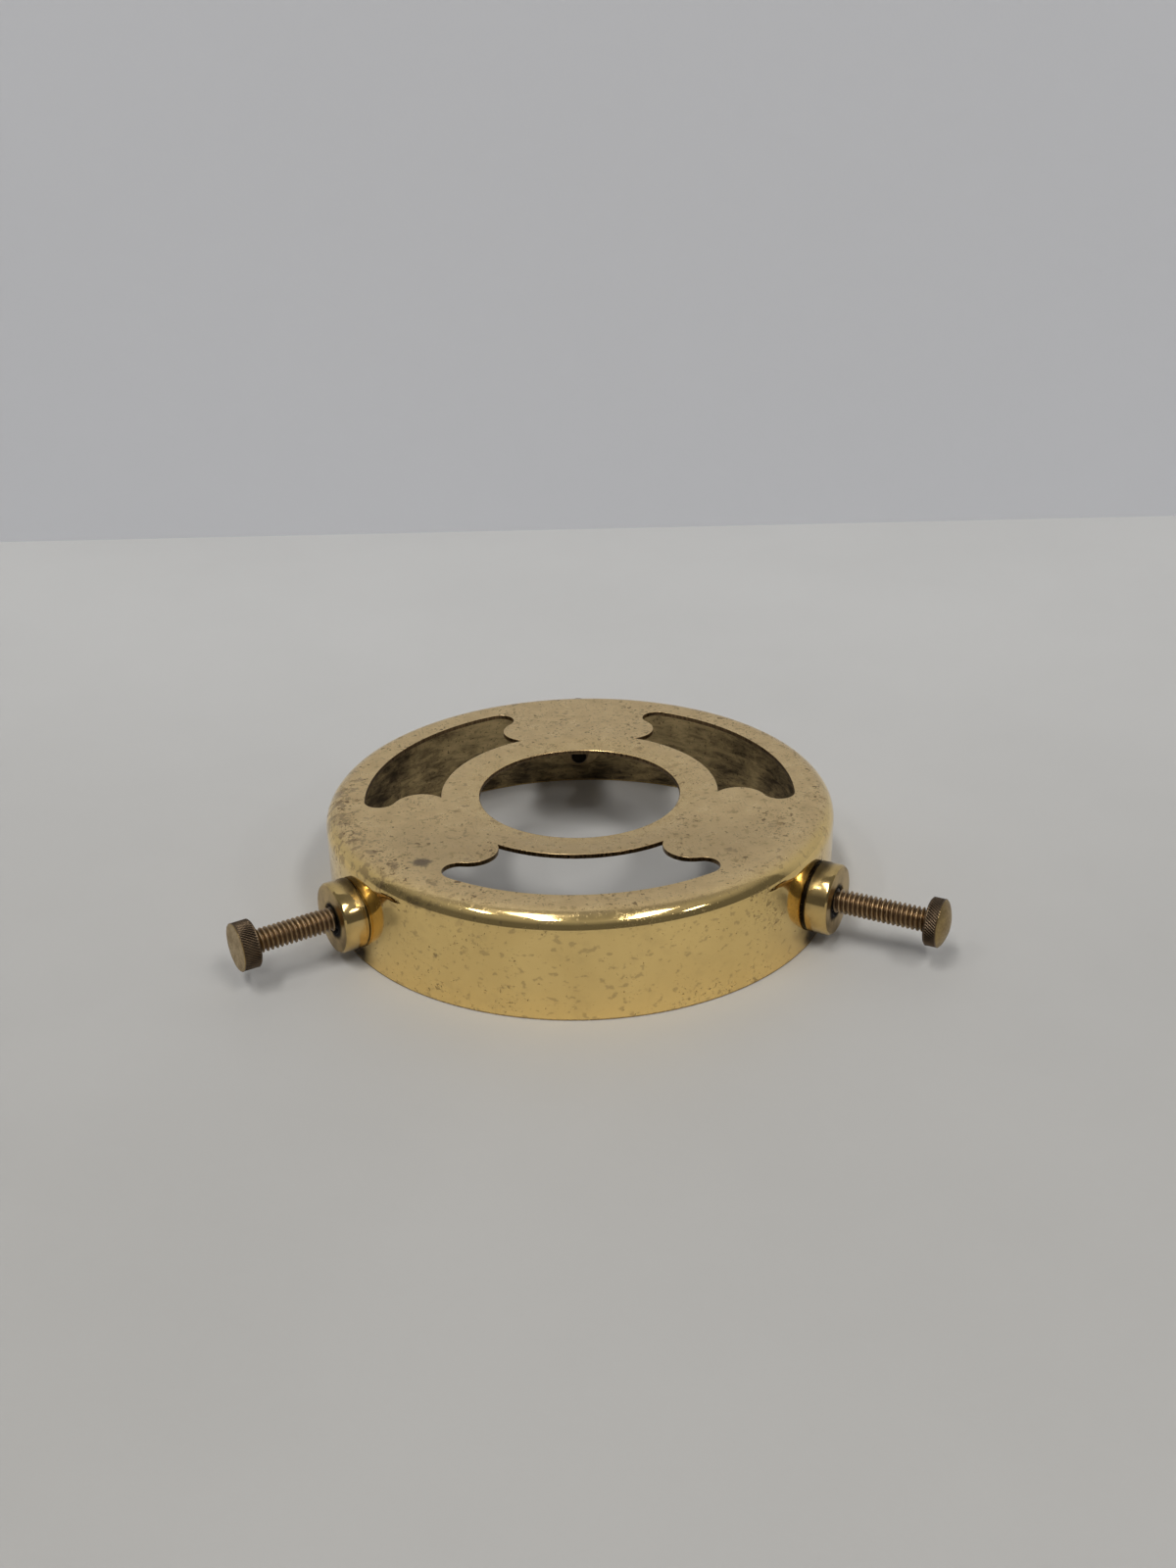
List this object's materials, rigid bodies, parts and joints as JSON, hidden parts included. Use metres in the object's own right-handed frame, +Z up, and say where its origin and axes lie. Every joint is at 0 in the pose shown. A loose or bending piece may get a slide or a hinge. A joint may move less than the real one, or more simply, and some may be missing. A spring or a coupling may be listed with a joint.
{
  "type": "lamp shade gallery",
  "caption": "Shallow open brass ring with a pierced top plate, round lampholder hole and long knurled thumbscrews that grip the neck of a glass lamp shade.",
  "frame": {"origin": "centre of the lampholder hole on the top face of the plate", "axes": "+Z up, out of the top face; the skirt hangs below; +Y along the rear thumbscrew"},
  "size_m": [0.1147, 0.0992, 0.0182],
  "materials": {
    "lacquered_brass": "polished pressed sheet, old and slightly hazed, with dark specks and fine scratches on the top plate",
    "turned_brass": "turned and polished, grime in the corners",
    "tarnished_brass": "turned and knurled, tarnished brown in the threads and the knurl, brighter on the flat face"
  },
  "bodies": {
    "gallery": {"gallery_cup": "lacquered_brass", "left_boss": "turned_brass", "right_boss": "turned_brass", "back_boss": "turned_brass"},
    "left_screw_core": {"left_screw_point": "tarnished_brass"},
    "left_screw": {"left_thumbscrew": "tarnished_brass"},
    "right_screw_core": {"right_screw_point": "tarnished_brass"},
    "right_screw": {"right_thumbscrew": "tarnished_brass"},
    "back_screw_core": {"back_screw_point": "tarnished_brass"},
    "back_screw": {"back_thumbscrew": "tarnished_brass"}
  },
  "joints": [
    {"name": "left_screw_travel", "type": "slide", "parent": "gallery", "child": "left_screw_core", "axis": [-0.8572, -0.515, 0], "range_m": [-0.0131, 0.00308]},
    {"name": "left_screw_turn", "type": "hinge", "parent": "left_screw_core", "child": "left_screw", "pos_m": [-0.04286, -0.02575, -0.0103], "axis": [-0.8572, -0.515, 0], "range_deg": [-6030, 1485]},
    {"name": "right_screw_travel", "type": "slide", "parent": "gallery", "child": "right_screw_core", "axis": [0.8829, -0.4695, 0], "range_m": [-0.01498, 0.00119]},
    {"name": "right_screw_turn", "type": "hinge", "parent": "right_screw_core", "child": "right_screw", "pos_m": [0.04415, -0.02347, -0.0103], "axis": [0.8829, -0.4695, 0], "range_deg": [-6885, 630]},
    {"name": "back_screw_travel", "type": "slide", "parent": "gallery", "child": "back_screw_core", "axis": [0, 1, 0], "range_m": [-0.00645, 0.00972]},
    {"name": "back_screw_turn", "type": "hinge", "parent": "back_screw_core", "child": "back_screw", "pos_m": [0, 0.05, -0.0103], "axis": [0, 1, 0], "range_deg": [-3015, 4500]}
  ],
  "couplings": [
    {"joint": "left_screw_turn", "follows": "left_screw_travel", "rad_per_m": 7915.8},
    {"joint": "right_screw_turn", "follows": "right_screw_travel", "rad_per_m": 7915.8},
    {"joint": "back_screw_turn", "follows": "back_screw_travel", "rad_per_m": 7915.8}
  ]
}
